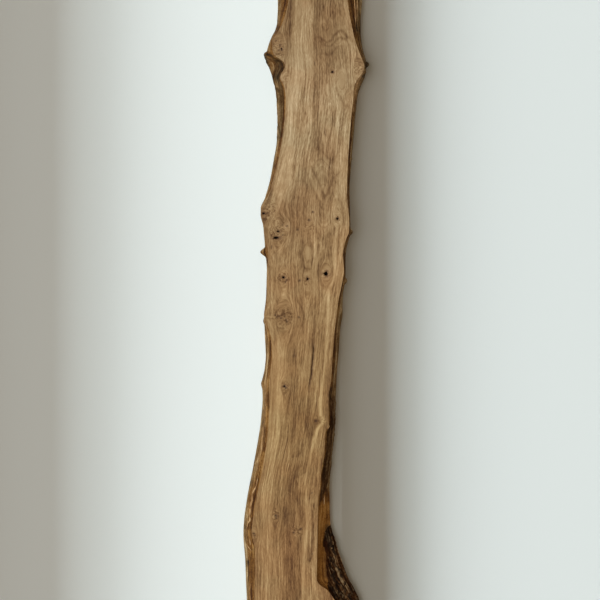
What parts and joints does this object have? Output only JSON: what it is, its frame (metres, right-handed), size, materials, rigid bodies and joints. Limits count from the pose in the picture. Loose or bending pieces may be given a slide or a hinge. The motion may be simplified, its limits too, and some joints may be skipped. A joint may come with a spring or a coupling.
{
  "type": "oak plank",
  "caption": "Live-edge oak plank sawn from a small trunk, with waney edges, open knots, branch stubs and bark left on, lying on its wide back face.",
  "frame": {"origin": "centre of the plank's bounding box in plan, on the surface that its back face rests on", "axes": "+Y along the plank from the root flare to the crown end, +Z out of the sawn front face, +X to the right as seen from the front"},
  "size_m": [0.3792, 2, 0.05],
  "materials": {
    "oak": "dry sawn and brushed oak, unvarnished"
  },
  "bodies": {
    "root": {"oak_plank": "oak"}
  },
  "joints": []
}
